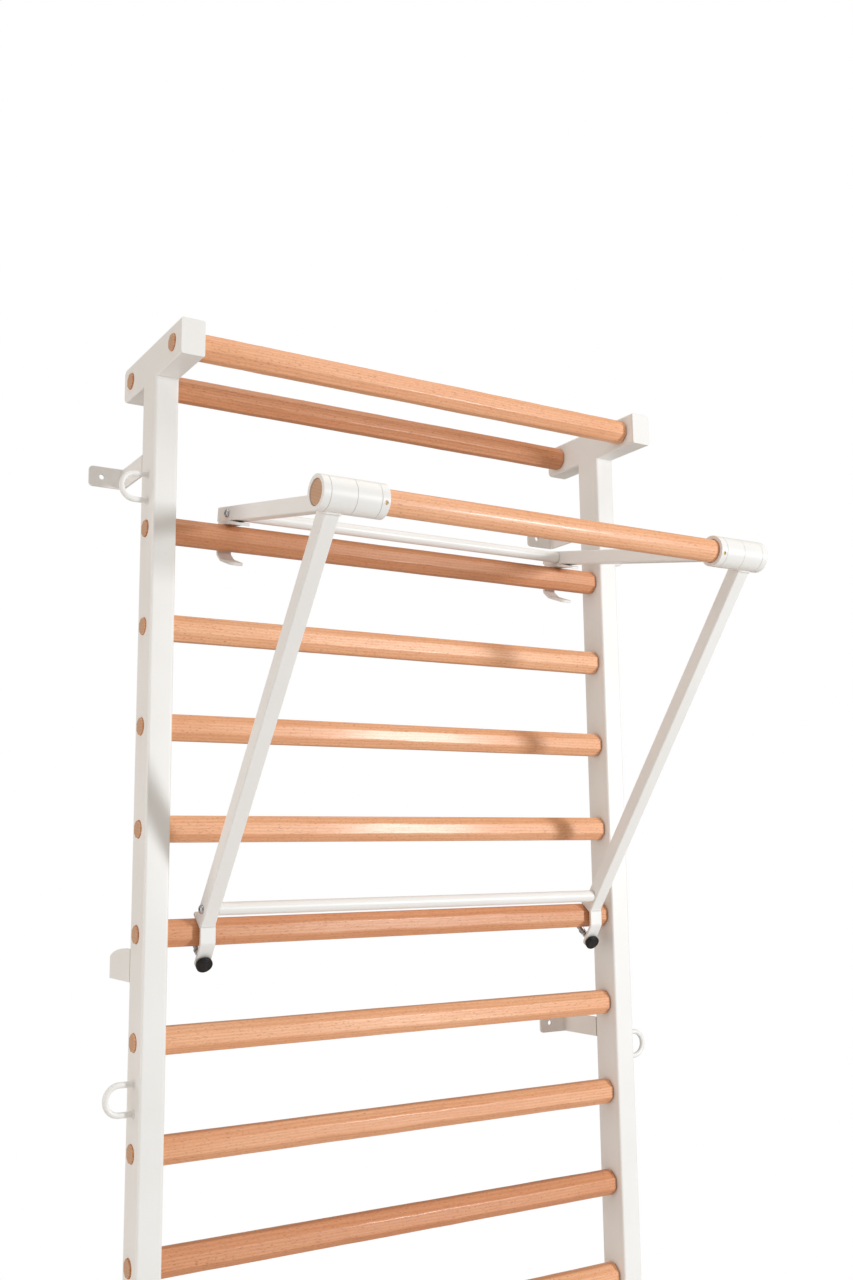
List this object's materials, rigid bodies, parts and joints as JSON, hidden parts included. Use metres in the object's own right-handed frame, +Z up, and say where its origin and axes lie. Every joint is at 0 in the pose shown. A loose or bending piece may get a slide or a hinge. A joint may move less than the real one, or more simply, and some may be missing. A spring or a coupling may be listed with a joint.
{
  "type": "stall bars with hook-on pull-up bar",
  "caption": "Wall-mounted steel and beech stall bars with a projecting head and a folding pull-up bar that hooks over the rungs.",
  "frame": {"origin": "on the wall surface at floor level, midway between the uprights", "axes": "+X along the rungs to the right of someone facing the wall, +Y into the wall, +Z up"},
  "size_m": [1.056, 0.6074, 2.3],
  "materials": {
    "white_paint": "satin powder coat",
    "beech": "satin lacquer",
    "zinc_steel": "zinc plated",
    "brass_screw": "polished",
    "black_plastic": "matt"
  },
  "bodies": {
    "ladder": {"band-eyelet-high-left": "white_paint", "band-eyelet-high-right": "white_paint", "band-eyelet-low-left": "white_paint", "band-eyelet-low-right": "white_paint", "foot-cap-left": "black_plastic", "foot-cap-right": "black_plastic", "head-beam-left": "white_paint", "head-beam-right": "white_paint", "head-cap-left": "white_paint", "head-cap-right": "white_paint", "head-rung-front": "beech", "head-rung-rear": "beech", "rung-01": "beech", "rung-02": "beech", "rung-03": "beech", "rung-04": "beech", "rung-05": "beech", "rung-06": "beech", "rung-07": "beech", "rung-08": "beech", "rung-09": "beech", "rung-10": "beech", "rung-11": "beech", "rung-12": "beech", "upright-left": "white_paint", "upright-right": "white_paint", "wall-bracket-low-left": "white_paint", "wall-bracket-low-right": "white_paint", "wall-bracket-middle-left": "white_paint", "wall-bracket-middle-right": "white_paint", "wall-bracket-top-left": "white_paint", "wall-bracket-top-right": "white_paint"},
    "upper_frame": {"arm-bolt-left": "zinc_steel", "arm-bolt-right": "zinc_steel", "arm-left": "white_paint", "arm-right": "white_paint", "cross-tube-upper": "white_paint", "upper-hook-left": "white_paint", "upper-hook-right": "white_paint"},
    "strut_frame": {"cross-tube-lower": "white_paint", "lower-hook-left": "white_paint", "lower-hook-right": "white_paint", "pin-spring-left": "zinc_steel", "pin-spring-right": "zinc_steel", "strut-bolt-left": "zinc_steel", "strut-bolt-right": "zinc_steel", "strut-left": "white_paint", "strut-right": "white_paint"},
    "grip": {"end-ring-inner-left": "white_paint", "end-ring-inner-right": "white_paint", "end-ring-outer-left": "white_paint", "end-ring-outer-right": "white_paint", "grip-bar": "beech", "set-screw-left": "brass_screw", "set-screw-right": "brass_screw"},
    "pin_left": {"lock-knob-left": "black_plastic", "lock-pin-left": "zinc_steel"},
    "pin_right": {"lock-knob-right": "black_plastic", "lock-pin-right": "zinc_steel"}
  },
  "joints": [
    {"name": "slide_along_rungs", "type": "slide", "parent": "ladder", "child": "upper_frame", "axis": [1, 0, 0], "range_m": [-0.045, 0.019]},
    {"name": "strut_fold", "type": "hinge", "parent": "upper_frame", "child": "strut_frame", "pos_m": [0.013, -0.582, 1.95], "axis": [-1, 0, 0], "range_deg": [0, 90]},
    {"name": "grip_turn", "type": "hinge", "parent": "upper_frame", "child": "grip", "pos_m": [0.013, -0.582, 1.95], "axis": [1, 0, 0], "continuous": true},
    {"name": "pin_pull_left", "type": "slide", "parent": "strut_frame", "child": "pin_left", "axis": [0, -0.8192, -0.5736], "range_m": [0, 0.013], "stiffness_N_per_m": 500, "springref_m": -0.006, "deforming": ["pin-spring-left"]},
    {"name": "pin_pull_right", "type": "slide", "parent": "strut_frame", "child": "pin_right", "axis": [0, -0.8192, -0.5736], "range_m": [0, 0.013], "stiffness_N_per_m": 500, "springref_m": -0.006, "deforming": ["pin-spring-right"]}
  ]
}
